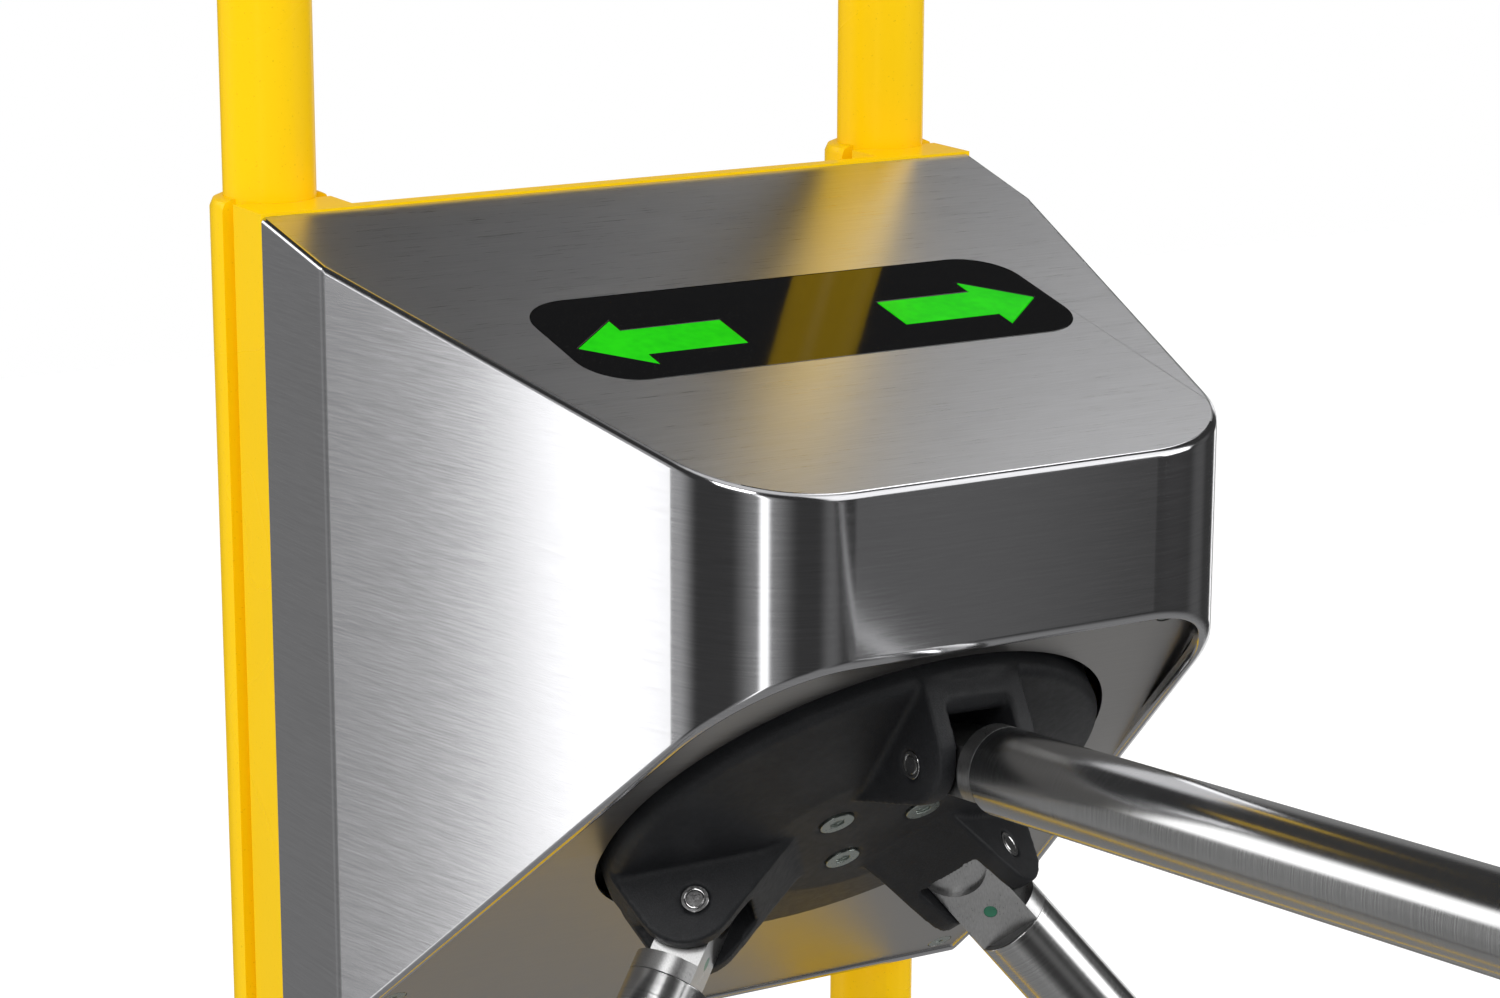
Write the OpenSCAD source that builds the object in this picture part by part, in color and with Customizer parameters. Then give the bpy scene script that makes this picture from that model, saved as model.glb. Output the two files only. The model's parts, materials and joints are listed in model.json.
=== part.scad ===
// Tripod turnstile: a stainless head with an inclined three-arm hub, clamped to two yellow posts.
// Millimetres, +Z up. The origin is on the floor, midway between the two posts.
// The walkway is on the -Y side, towards which the head and the front arm reach.

/* [Posts] */
// Outer diameter of a post
post_d = 35; // [32:0.5:40]
// Wall of a post
post_wall = 2.5; // [1.5:0.25:4]
// Distance between the post axes
post_spacing = 270; // [262:1:276]
// Height of the posts above the floor
post_h = 1250; // [1200:10:1600]
// Width of the base plate, along X
base_w = 380; // [360:5:460]
// Depth of the base plate, along Y
base_d = 160; // [130:5:220]
// Thickness of the base plate
base_t = 8; // [6:1:14]
// Height of a post socket above the base plate
socket_h = 30; // [20:1:50]
// Wall of a post socket
socket_wall = 5; // [4:0.5:8]
// Diameter of the four anchor holes
anchor_d = 12; // [9:0.5:16]
// Distance of an anchor hole from the base plate's edges
anchor_inset = 20; // [15:1:28]
// Height of a post cap above the post
cap_h = 6; // [4:1:12]
// Radial clearance between a fixed part and what it holds
seat_gap = 0.05; // [0.02:0.01:0.1]

/* [Back frame] */
// Height of the head's top rear edge above the floor
head_top = 1060; // [1000:5:1080]
// Thickness of the frame's front plate
frame_t = 7; // [5:0.5:9]
// Depth of the frame's side rails, front plate included
rail_depth = 26; // [24:0.5:30]
// Width of a side rail
rail_w = 40; // [38:0.5:44]
// How far the frame stands above and below the head
frame_lip = 1; // [0.5:0.25:3]
frame_foot = 1; // [0.5:0.25:2]
// Distance from the frame's front face to the post axes
post_back = 36.9; // [36:0.1:40]
// Wall of a rear clamp
clamp_wall = 5; // [4:0.25:7]
// Gap between the rails and the clamps
clamp_gap = 5; // [2:0.5:6]
// Width of the service opening in the front plate
service_w = 160; // [140:5:160]
// Height of the service opening
service_h = 250; // [200:5:270]
// Border of the rear cover around the service opening
cover_lap = 9; // [8:0.5:12]
// Thickness of the rear cover
cover_t = 2; // [1.5:0.25:3]

/* [Head] */
// Width of the head at its rear edge
head_w = 309; // [307:0.5:312]
// Width of the head at the vertical bend in its sides
bend_w = 304.5; // [298:0.5:306]
// Depth of that bend in front of the rear edge
bend_depth = 47; // [35:1:60]
// Width of the head at the sharp front corners, before rounding
nose_w = 198; // [190:1:215]
// Depth of the head
head_depth = 260; // [256:1:275]
// Radius of the rounded front corners
nose_r = 50.4; // [40:0.2:56]
// Fall of the top face towards the front, in degrees
top_slope = 13; // [11:0.5:15]
// Height of the vertical front face
front_h = 58; // [54:0.5:64]
// Slope of the underside, in degrees
under_slope = 40.5; // [39.5:0.25:41.5]
// Thickness of the stainless sheet
sheet = 1.5; // [1:0.25:2]
// Width of the folded flange that carries the underside plate
flange_w = 16; // [14:0.5:17]
// Thickness of the underside plate
plate_t = 2; // [1.5:0.25:3]
// Depth of the underside plate inside the head's lower edge at the rear
plate_recess = 1.2; // [0.8:0.1:2]
// Side clearance of the underside plate
plate_gap = 0.4; // [0.2:0.1:1]
// Head diameter of the countersunk plate screws
plate_screw_head = 10; // [8:0.5:12]
// Thread diameter of the plate screws
plate_screw_d = 5; // [4:0.5:6]

/* [Display] */
// Width of the display window
window_w = 203; // [190:1:210]
// Length of the display window along the slope
window_l = 70.4; // [66:0.2:76]
// Distance of its middle from the rear edge, along the slope
window_at = 132.4; // [125:0.5:138]
// Radius of its corners
window_r = 20; // [12:1:28]
// Thickness of the window's raised middle
window_t = 3; // [2.6:0.2:4]
// Lap of the window under the sheet
window_lap = 6; // [4:0.5:8]
// Clearance round the window
window_gap = 0.25; // [0.1:0.05:0.5]
// Distance of the arrow tips from the middle
arrow_tip = 95; // [90:0.5:97]
// Length of an arrow
arrow_l = 62; // [55:0.5:66]
// Length of an arrow's head
arrow_head_l = 22; // [18:0.5:28]
// Width of an arrow's head
arrow_head_w = 38; // [30:0.5:44]
// Width of an arrow's shaft
arrow_shaft_w = 20.5; // [14:0.5:24]
// Thickness of an arrow
arrow_t = 1; // [0.6:0.1:1.4]

/* [Hub] */
// Distance of the hub's middle from the front lower edge, along the underside
hub_along = 127; // [124:0.5:129]
// Angle of the hub axis below the horizontal
hub_incline = 45.5; // [44.5:0.25:46.5]
// How far the arms are turned past the middle, seen in the photograph
hub_turn = 2.65; // [0:0.05:5]
// Radius of the hub casting
hub_r = 94.5; // [93.5:0.5:96]
// Clearance between the hub and the hole in the underside plate
hub_gap = 3.3; // [2.5:0.1:5]
// Height of the hub's middle face above its rim plane
hub_dome = 13.5; // [12:0.5:15]
// Height of the dome at its outer edge
hub_edge = 4; // [3:0.5:6]
// Depth of the hub's rear skirt
hub_skirt = 13; // [11:0.5:14]
// Distance of an arm's pivot pin from the hub axis
pin_at = 67.5; // [66:0.25:69]
// Height of the pivot pins above the rim plane
pin_h = 21.5; // [21:0.25:23]
// Diameter of a pivot pin
pin_d = 10; // [8:0.5:11]
// Width over the two ears of a clevis
ears_w = 41; // [39:0.5:44]
// Width of the slot between the ears
slot_w = 26; // [25.8:0.1:27]
// Radius of the ears round their outer end
ear_r = 18.5; // [17.5:0.25:18.75]
// Diameter of the circle on which the three hub screws lie
hub_screws_pcd = 42.8; // [42:0.2:45]
// Head diameter of a hub screw
hub_screw_head = 13; // [12:0.5:14]

/* [Arms] */
// Outer diameter of an arm
arm_d = 31; // [30:0.25:31.5]
// Wall of an arm's tube
arm_wall = 2; // [1.2:0.1:3]
// Length of an arm from its pivot pin to its end
arm_l = 500; // [420:5:550]
// Angle between the hub axis and the front arm
arm_cone_1 = 50.3; // [48:0.1:51]
// Angle between the hub axis and the lower left arm
arm_cone_2 = 43.5; // [42:0.1:51]
// Angle between the hub axis and the lower right arm
arm_cone_3 = 46.7; // [42:0.1:51]
// Distance from the pin to the seam between root and tube
arm_seam = 27.5; // [26:0.25:32]
// Distance from the pin to the shoulder of the root's round part
arm_shoulder = 20.5; // [20.2:0.1:22]
// Width of the root's tongue
tongue_w = 25; // [24:0.1:25]
// Half thickness of the tongue
tongue_half = 9.2; // [8:0.1:9.5]
// Length of the tongue past the pin
tongue_tail = 12.5; // [10:0.5:13]
// Diameter of the marker dot
marker_d = 5; // [4:0.5:6]

/* [Mechanism] */
// Diameter of the main shaft
shaft_d = 25; // [20:1:28]
// Running clearance of a shaft in its bearing
run_gap = 0.05; // [0.02:0.01:0.09]
// Depth of the lower bearing plate behind the rim plane
chassis_at = 20; // [19:0.5:22]
// Thickness of the two bearing plates
chassis_t = 5; // [4:0.5:6]
// Width of the lower bearing plate
chassis_w = 190; // [180:1:196]
// Length of the lower bearing plate
chassis_l = 180; // [170:1:186]
// Distance between the two bearing plates
chassis_span = 66; // [64:1:70]
// Size of the square upper bearing plate
upper_w = 128; // [124:1:132]
// Distance of a spacer from the plates' middle lines
spacer_at = 54; // [53:0.5:56]
// Diameter of a spacer
spacer_d = 13; // [10:0.5:14]
// Thickness of the side brackets
bracket_t = 4; // [3:0.5:5]
// Radius of the lock wheel
lock_r = 42; // [40:0.5:42.5]
// Radius of the cam's lobes
cam_r = 34; // [30:0.5:34.5]
// Tooth module of the damper drive
gear_module = 2; // [2:0.5:2]
// Teeth of the drive gear
gear_teeth = 36; // [36:1:36]
// Teeth of the damper's pinion
pinion_teeth = 12; // [12:1:12]

/* [Hidden] */
$fn = 64;
eps = 0.01;
cut = 1;                                   // overshoot of a cutting solid

yellow = "gold";
steel = "silver";
black = "dimgray";
brass_tone = "goldenrod";
board_green = "seagreen";

post_r = post_d / 2;
post_x = post_spacing / 2;
cap_r = post_r;
plug_l = 25;
plug_r = post_r - post_wall - 0.2;
socket_floor = base_t / 2;                 // floor of a post socket inside the base plate
anchor_x = base_w / 2 - anchor_inset;
anchor_y = base_d / 2 - anchor_inset;

rise = tan(top_slope);
fall = tan(under_slope);
front_top_z = -head_depth * rise;
front_low_z = front_top_z - front_h;
head_h = -front_low_z + head_depth * fall;  // from the rear top edge to the rear lower edge

clamp_r = post_r + clamp_wall;
clamp_front = rail_depth + clamp_gap;
clamp_round = clamp_wall * 0.8;
bolt_d = 6;
bolt_head_d = 11;
bolt_head_t = 3.4;
bolt_seat = post_back + clamp_r - 1.4;      // flat spot face on a clamp's back
bolt_tip = frame_t + 4;
bolt_zs = [-50, -head_h / 2, -head_h + 50];
service_top = -45;
cover_w = service_w + 2 * cover_lap;
cover_h = service_h + 2 * cover_lap;
cover_screw_d = 4;
cover_screw_head = 8;
cover_screw_x = service_w / 2 + cover_lap / 2;
cover_screw_zs = [service_top - 20, service_top - service_h / 2, service_top - service_h + 20];

// The underside plate is bent once. Its front part is square to the hub axis, its rear part
// follows the head's lower edge.
hub_tilt = 90 - hub_incline - under_slope;  // between the two parts
plate_bend = hub_along + 12;                // where they meet, along the underside
flange_t = sheet;
under_length = head_depth / cos(under_slope);
screw_front = 23;                           // plate screws, along the underside
screw_side = under_length - 84;
screw_rear = under_length - 12;
screw_edge = 10.6;                          // their distance from the head's sides
under_screws = [for (p = [[nose_w / 2 - 14.4, screw_front], [half_width(screw_side) - screw_edge, screw_side],
    [half_width(screw_rear) - 1.3 * screw_edge, screw_rear]], s = [-1, 1]) [s * p[0], p[1]]];
// Half the head's width at a distance s along the underside
function half_width(s) = let (y = head_depth - s * cos(under_slope)) y < bend_depth
    ? (head_w - (head_w - bend_w) * y / bend_depth) / 2
    : (bend_w - (bend_w - nose_w) * (y - bend_depth) / (head_depth - bend_depth)) / 2;
hub_hole_r = hub_r + hub_gap;

display_drop = 15;                          // depth of the display bracket's floor
board_t = 1.6;

bracket_high = -70;
bracket_low = -head_h + 55;

casting_floor = -8;
slot_floor = pin_h - 16;                    // leaves room for the tongue's corners as it turns
slot_inner = pin_at - 18.5;
slot_web = [[10.5, -16], [13, -12], [17.5, -8.2], [20, -8.2]]; // solid on the rim's side, from the pin out and up
ear_tip = hub_r - 2;
ear_centre = [pin_at + 2.5, pin_h - 3.5];
ear_root = 26;
arm_cones = [arm_cone_1, arm_cone_2, arm_cone_3];
arm_turns = [0, -120, 120];
pin_gap = 0.05;
plug_depth = 32;                            // how far a root reaches into its tube
plug_clear = 0.1;
marker_at = 15.3;
marker_t = 0.8;
shoulder_r = 12.5;
shoulder_at = -8;
shoulder_half = 6.4;
end_cap_t = 4;

shaft_r = shaft_d / 2;
shaft_flange_r = 33;
shaft_flange_t = 6;
shaft_end = -118;
lower_ring_r = 30;
upper_ring_r = 25;
ring_flange = 10;
ring_flange_t = 3;
chassis_back = -chassis_at - chassis_t;     // rear face of the lower plate
upper_front = chassis_back - chassis_span;  // front face of the upper plate
upper_back = upper_front - chassis_t;
lock_z = [-56, -48];
cam_z = [-74, -66];
gear_z = [-87, -81];
lock_notches = 6;
notch_w = 9;
notch_depth = 6;
lobe_drop = 9;
gear_r = gear_module * gear_teeth / 2;
pinion_r = gear_module * pinion_teeth / 2;
gear_centres = gear_r + pinion_r + 0.15;
damper_r = 19;
damper_l = 28;
pawl_x = lock_r + 8;                        // the pawl pins stand beside the lock wheel
pawl_y = 32;
pawl_pin_r = 3;
pawl_tail = -22;
pawl_bar_in = pawl_x - 0.8;
pawl_bar_w = 6.4;
pawl_tip = lock_r + 1.8;
pawl_nose_w = 6;
pawl_nose_y = -4.5;                         // swings to the middle of the notch
plunger_y = -14;
plunger_r = 4;
plunger_z = (lock_z[0] + lock_z[1]) / 2;
solenoid_x = [62, 90];
solenoid_half = 11;
lever_pin = [40, -50];
lever_nose = [0, -cam_r - 7.2];
lever_nose_r = 6;
encoder_z = [-113, -111];
encoder_r = 24;
board_x = 60;
board_zs = [-170, -60];
board_y = -13;
grommet_z = -262;
grommet_r = 9;

// Coordinate frames

// Head frame: the origin is at the middle of the head's rear top edge
module head_frame() {
    translate([0, -post_back, head_top]) children();
}

// Top frame: +Z is square to the sloping top face, -Y runs down the slope
module top_frame() {
    rotate([top_slope, 0, 0]) children();
}

// Underside frame: origin at the front lower edge, +Y along the underside, +Z into the head
module under_frame() {
    translate([0, -head_depth, front_low_z]) rotate([-under_slope, 0, 0]) children();
}

// Hub frame: +Z is the hub axis pointing out of the head, +Y points to the front and up
module hub_frame() {
    under_frame() translate([0, hub_along, 0])
        rotate([under_slope + 90 + hub_incline, 0, 0]) rotate([0, 0, -hub_turn]) children();
}

// Fixed mechanism frame: the hub frame without the hub's turn
module axis_frame() {
    hub_frame() rotate([0, 0, hub_turn]) children();
}

// Clevis frame of one arm: +Y points outwards through the clevis, +X along its pin
module clevis_frame(i) {
    hub_frame() rotate([0, 0, -arm_turns[i]]) children();
}

// Arm frame: the origin is on the pivot pin, +Z runs along the arm
module arm_frame(i) {
    clevis_frame(i) translate([0, pin_at, pin_h]) rotate([-arm_cones[i], 0, 0]) children();
}

// Outlines of the head

function unit(v) = v / norm(v);

// A line through two points, moved to its left by t
function moved(a, b, t) = let (u = unit(b - a), n = [-u[1], u[0]] * t) [a + n, b + n];

// Where two lines cross
function crossing(l, m) = let (
    d = l[1] - l[0], e = m[1] - m[0], w = m[0] - l[0],
    k = (w[0] * e[1] - w[1] * e[0]) / (d[0] * e[1] - d[1] * e[0])) l[0] + d * k;

rear_corner = [-head_w / 2, 0];
bend_corner = [-bend_w / 2, -bend_depth];
nose_corner = [-nose_w / 2, -head_depth];
nose_mirror = [nose_w / 2, -head_depth];
nose_centre = crossing(moved(bend_corner, nose_corner, nose_r),
                       moved(nose_corner, nose_mirror, nose_r));

// Plan of the head, moved inwards by t, and cut off at the height back on the Y axis
module head_plan(t, back) {
    flare = moved(rear_corner, bend_corner, t);
    side = moved(bend_corner, nose_corner, t);
    front = moved(nose_corner, nose_mirror, t);
    side_way = unit(nose_corner - bend_corner);
    tangent = nose_centre - (nose_r - t) * [-side_way[1], side_way[0]];
    half = [crossing(flare, [[0, back], [1, back]]), crossing(flare, side), tangent,
            [nose_centre[0], -head_depth + t]];
    polygon(concat(half, [for (k = [3:-1:0]) [-half[k][0], half[k][1]]]));
    for (s = [-1, 1]) translate([s * nose_centre[0], nose_centre[1]]) circle(nose_r - t);
}

module head_prism(t, back) {
    translate([0, 0, -head_h - 2 * cut]) linear_extrude(head_h + 4 * cut) head_plan(t, back);
}

// A side profile in Y and Z, drawn out along X
module side_profile(points, width) {
    translate([-width / 2, 0, 0]) rotate([90, 0, 90]) linear_extrude(width) polygon(points);
}

// Height of the top skin's surface t below its outside, at depth y
function top_z(y, t) = y * rise - t / cos(top_slope);

// A point of the underside: s along it from the front lower edge, d deep
function under_point(s, d) = [-head_depth + s * cos(under_slope) + d * sin(under_slope),
                              front_low_z - s * sin(under_slope) + d * cos(under_slope)];

// Depth of the bent underside plate's outer face at s
function plate_depth(s) = plate_recess + max(0, plate_bend - s) * tan(hub_tilt);

// Profile between two depths measured from the plate's outer face
function bent_profile(d0, d1) = concat(
    [for (s = [-10, plate_bend, under_length + 10]) under_point(s, plate_depth(s) + d0)],
    [for (s = [under_length + 10, plate_bend, -10]) under_point(s, plate_depth(s) + d1)]);

module bent_sheet(d0, d1, side_gap) {
    intersection() {
        side_profile(bent_profile(d0, d1), head_w);
        head_prism(side_gap, -eps);
    }
}

module rounded_plate(w, l, r, t) {
    linear_extrude(t) {
        square([w - 2 * r, l], center = true);
        square([w, l - 2 * r], center = true);
        for (x = [-1, 1], y = [-1, 1])
            translate([x * (w / 2 - r), y * (l / 2 - r)]) circle(r);
    }
}

module ring(r_out, r_in, z0, z1) {
    translate([0, 0, z0]) difference() {
        cylinder(r = r_out, h = z1 - z0);
        translate([0, 0, -cut]) cylinder(r = r_in, h = z1 - z0 + 2 * cut);
    }
}

module disc(r, z0, z1) {
    translate([0, 0, z0]) cylinder(r = r, h = z1 - z0);
}

// A cylinder along +Y
module rod_y(r, x, z, y0, y1) {
    translate([x, y0, z]) rotate([-90, 0, 0]) cylinder(r = r, h = y1 - y0);
}

// Posts and base

module base_plate() {
    color(yellow) difference() {
        union() {
            translate([0, 0, 0]) rounded_plate(base_w, base_d, anchor_inset / 2, base_t);
            for (s = [-1, 1]) translate([s * post_x, 0, 0])
                disc(post_r + seat_gap + socket_wall, base_t - eps, base_t + socket_h);
        }
        for (s = [-1, 1]) translate([s * post_x, 0, 0])
            disc(post_r + seat_gap, socket_floor, base_t + socket_h + cut);
        for (x = [-1, 1], y = [-1, 1]) translate([x * anchor_x, y * anchor_y, 0])
            disc(anchor_d / 2, -cut, base_t + cut);
    }
}

module post(s) {
    color(yellow) difference() {
        translate([s * post_x, 0, 0]) ring(post_r, post_r - post_wall, socket_floor, post_h);
        head_frame() for (z = bolt_zs)
            rod_y(bolt_d / 2 + 0.2, s * post_x, z, post_back - post_r - cut, post_back + post_r + cut);
    }
}

module post_caps() {
    color(black) for (s = [-1, 1]) translate([s * post_x, 0, post_h]) {
        disc(plug_r, -plug_l, eps);
        disc(cap_r, 0, cap_h / 2);
        translate([0, 0, cap_h / 2]) cylinder(r1 = cap_r, r2 = cap_r - cap_h / 2, h = cap_h / 2);
    }
}

// Back frame

module frame_plate() {
    z_low = -head_h + frame_foot;
    tall = head_h + frame_lip - frame_foot;
    color(yellow) head_frame() difference() {
        union() {
            translate([-head_w / 2, 0, z_low]) cube([head_w, frame_t, tall]);
            for (s = [-1, 1]) {
                inner = post_x - rail_w / 2;
                outer = head_w / 2;
                translate([s > 0 ? inner : -outer, frame_t - eps, z_low])
                    cube([outer - inner, rail_depth - frame_t + eps, tall]);
            }
        }
        for (s = [-1, 1]) {
            translate([s * post_x, post_back, z_low - cut]) cylinder(r = post_r + seat_gap, h = tall + 2 * cut);
            for (z = bolt_zs) rod_y(bolt_d / 2 + seat_gap, s * post_x, z, bolt_tip - cut, rail_depth + cut);
        }
        translate([-service_w / 2, -cut, service_top - service_h])
            cube([service_w, frame_t + 2 * cut, service_h]);
        for (s = [-1, 1], z = cover_screw_zs)
            rod_y(cover_screw_d / 2 + seat_gap, s * cover_screw_x, z, -cut, frame_t + cut);
    }
}

module clamp(s) {
    z0 = -head_h + frame_foot;
    z1 = 2;
    inner = post_r + seat_gap;
    color(yellow) head_frame() difference() {
        translate([s * post_x, post_back, 0]) rotate_extrude() polygon([
            [inner, z0], [clamp_r, z0], [clamp_r, z1 - clamp_round],
            [clamp_r - clamp_round * 0.3, z1 - clamp_round * 0.3],
            [clamp_r - clamp_round, z1], [inner, z1]]);
        translate([s * post_x - clamp_r - cut, post_back - clamp_r - cut, z0 - cut])
            cube([2 * clamp_r + 2 * cut, clamp_front - post_back + clamp_r + cut, z1 - z0 + 2 * cut]);
        for (z = bolt_zs) {
            rod_y(bolt_d / 2 + 0.2, s * post_x, z, post_back, post_back + clamp_r + cut);
            rod_y(bolt_head_d / 2 + 1, s * post_x, z, bolt_seat, post_back + clamp_r + cut);
        }
    }
}

module clamp_bolts() {
    color(steel) head_frame() for (s = [-1, 1], z = bolt_zs) difference() {
        union() {
            rod_y(bolt_d / 2, s * post_x, z, bolt_tip, bolt_seat + eps);
            rod_y(bolt_head_d / 2, s * post_x, z, bolt_seat, bolt_seat + bolt_head_t);
        }
        translate([s * post_x, bolt_seat + bolt_head_t - 2, z]) rotate([-90, 0, 0])
            cylinder(d = 4.6, h = 3, $fn = 6);
    }
}

module rear_cover() {
    color(yellow) head_frame() difference() {
        translate([0, frame_t, service_top - service_h / 2]) rotate([-90, 0, 0])
            rounded_plate(cover_w, cover_h, 5, cover_t);
        for (s = [-1, 1], z = cover_screw_zs)
            rod_y(cover_screw_d / 2 + seat_gap, s * cover_screw_x, z, frame_t - cut, frame_t + cover_t + cut);
        rod_y(grommet_r, 0, grommet_z, frame_t - cut, frame_t + cover_t + cut);
        for (x = [-1, 1], z = board_zs)
            rod_y(1.6, x * (board_x - 6), z + (z < -100 ? 6 : -6), frame_t - cut, frame_t + cover_t + cut);
    }
}

module cover_screws() {
    color(steel) head_frame() for (s = [-1, 1], z = cover_screw_zs) {
        rod_y(cover_screw_d / 2, s * cover_screw_x, z, 1, frame_t + cover_t + eps);
        translate([s * cover_screw_x, frame_t + cover_t, z]) rotate([-90, 0, 0])
            cylinder(d1 = cover_screw_head, d2 = cover_screw_head - 3, h = 2.2);
    }
}

module cable_grommet() {
    color(black) head_frame() translate([0, 0, grommet_z]) rotate([-90, 0, 0]) difference() {
        union() {
            disc(grommet_r - seat_gap, frame_t - 2, frame_t + cover_t + 2);
            disc(grommet_r + 3, frame_t + cover_t, frame_t + cover_t + 2);
            disc(grommet_r + 3, frame_t - 2, frame_t);
        }
        disc(grommet_r - 4, frame_t - 2 - cut, frame_t + cover_t + 2 + cut);
    }
}

// Head shell

module housing_solid() {
    intersection() {
        head_prism(0, 0);
        side_profile([[0, 0], [-head_depth - cut, top_z(-head_depth - cut, 0)],
            [-head_depth - cut, front_low_z + fall * cut], [0, -head_h]], head_w + 2 * cut);
    }
}

module housing_shell() {
    back = cut;
    color(steel) head_frame() difference() {
        union() {
            difference() {
                housing_solid();
                intersection() {
                    head_prism(sheet, back);
                    side_profile([[back, top_z(back, sheet)],
                        [-head_depth, top_z(-head_depth, sheet)],
                        [-head_depth, -head_h - cut], [back, -head_h - cut]], head_w);
                }
            }
            intersection() {
                bent_sheet(plate_t + seat_gap, plate_t + seat_gap + flange_t, sheet / 2);
                housing_solid();
                difference() {
                    head_prism(0, 0);
                    head_prism(sheet + flange_w, back);
                }
            }
        }
        top_frame() translate([0, -window_at, -10]) rounded_plate(window_w, window_l, window_r, 20);
        under_frame() for (p = under_screws)
            translate([p[0], p[1], 0]) cylinder(d = plate_screw_d + 2 * seat_gap, h = 40);
        axis_frame() disc(hub_hole_r, -30, 20);
    }
}

module underside_plate() {
    color(steel) head_frame() difference() {
        bent_sheet(0, plate_t, sheet + plate_gap);
        axis_frame() disc(hub_hole_r, -30, 20);
        under_frame() for (p = under_screws) translate([p[0], p[1], 0]) {
            cylinder(d = plate_screw_d + 2 * seat_gap, h = 40);
            translate([0, 0, plate_depth(p[1]) - 10]) cylinder(d = plate_screw_head + 0.4, h = 10.6);
        }
    }
}

module underside_screws() {
    color(steel) head_frame() under_frame() for (p = under_screws)
        translate([p[0], p[1], plate_depth(p[1])]) difference() {
            union() {
                disc(plate_screw_head / 2, 0, 0.6);
                disc(plate_screw_d / 2, 0.6 - eps, 9);
            }
            translate([0, 0, -cut]) cylinder(d = 3, h = cut + 0.45, $fn = 6);
        }
}

// Display

module arrow_outline(grow) {
    half_head = arrow_head_w / 2 + grow;
    half_shaft = arrow_shaft_w / 2 + grow;
    tip = arrow_tip + 1.5 * grow;
    neck = arrow_tip - arrow_head_l - grow;
    tail = arrow_tip - arrow_l - grow;
    polygon([[tip, 0], [neck, half_head], [neck, half_shaft], [tail, half_shaft],
        [tail, -half_shaft], [neck, -half_shaft], [neck, -half_head]]);
}

arrow_shift = -4.8;                          // the arrows lie a little in front of the middle

module arrow(s) {
    color("lime") head_frame() top_frame() translate([0, -window_at + arrow_shift, -arrow_t])
        linear_extrude(arrow_t) mirror([s < 0 ? 1 : 0, 0]) arrow_outline(0);
}

module display_window() {
    color(black) head_frame() top_frame() translate([0, -window_at, 0]) difference() {
        union() {
            translate([0, 0, -window_t])
                rounded_plate(window_w - 2 * window_gap, window_l - 2 * window_gap,
                    window_r - window_gap, window_t);
            translate([0, 0, -window_t]) rounded_plate(window_w + 2 * window_lap,
                window_l + 2 * window_lap, window_r + window_lap, window_t - sheet);
        }
        for (s = [0, 1]) translate([0, arrow_shift, -arrow_t]) linear_extrude(arrow_t + cut)
            mirror([s, 0]) arrow_outline(0.1);
    }
}

module display_bracket() {
    w = window_w + 2 * window_lap + 6;
    l = window_l + 2 * window_lap + 6;
    color(steel) head_frame() top_frame() translate([0, -window_at, 0]) {
        translate([-w / 2, -l / 2, -display_drop]) cube([w, l, sheet]);
        for (s = [-1, 1]) translate([-w / 2, s > 0 ? l / 2 - sheet : -l / 2, -display_drop])
            cube([w, sheet, display_drop - sheet]);
    }
}

module led_boards() {
    led_r = 2.5;
    color(board_green) head_frame() top_frame()
        translate([0, -window_at + arrow_shift, -display_drop + sheet])
        for (s = [-1, 1]) {
            translate([s * (arrow_tip - arrow_l / 2) - arrow_l / 2, -20, 0]) cube([arrow_l, 40, board_t]);
            for (k = [-2:2], j = [-1, 1])
                translate([s * (arrow_tip - arrow_l / 2) + k * 11, j * 8, board_t - eps])
                    cylinder(r = led_r, h = 5);
        }
}

// Mechanism

module lower_bearing() {
    color(steel) head_frame() axis_frame() {
        ring(lower_ring_r, shaft_r + run_gap, chassis_back - 12, -chassis_at);
        ring(lower_ring_r + ring_flange, lower_ring_r - eps, chassis_back - ring_flange_t, chassis_back);
    }
}

module upper_bearing() {
    color(steel) head_frame() axis_frame() {
        ring(upper_ring_r, shaft_r + run_gap, upper_back - 4, upper_front);
        ring(upper_ring_r, shaft_r + run_gap, upper_front - eps, upper_front + ring_flange_t);
    }
}

module chassis_plate() {
    chamfer = 24;
    w = chassis_w / 2;
    l = chassis_l / 2;
    color(steel) head_frame() axis_frame() difference() {
        translate([0, 0, chassis_back]) linear_extrude(chassis_t) polygon([
            [-w, -l + chamfer], [-w + chamfer, -l], [w - chamfer, -l], [w, -l + chamfer],
            [w, l - chamfer], [w - chamfer, l], [-w + chamfer, l], [-w, l - chamfer]]);
        disc(lower_ring_r + seat_gap, chassis_back - cut, -chassis_at + cut);
        for (x = [-1, 1], y = [-1, 1]) translate([x * spacer_at, y * spacer_at, 0])
            disc(3, chassis_back - cut, -chassis_at + cut);
    }
}

module upper_plate() {
    color(steel) head_frame() axis_frame() difference() {
        translate([0, 0, upper_back]) rounded_plate(upper_w, upper_w, 10, chassis_t);
        disc(upper_ring_r + seat_gap, upper_back - cut, upper_front + cut);
        for (x = [-1, 1], y = [-1, 1]) translate([x * spacer_at, y * spacer_at, 0])
            disc(3, upper_back - cut, upper_front + cut);
        translate([0, gear_centres, 0]) disc(9, upper_back - cut, upper_front + cut);
    }
}

module chassis_spacers() {
    color(steel) head_frame() axis_frame() for (x = [-1, 1], y = [-1, 1])
        translate([x * spacer_at, y * spacer_at, 0]) {
            disc(spacer_d / 2, upper_front, chassis_back);
            disc(3 - seat_gap, chassis_back - eps, -chassis_at + 0.5);
            disc(3 - seat_gap, upper_back - 4, upper_front + eps);
        }
}

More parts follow.
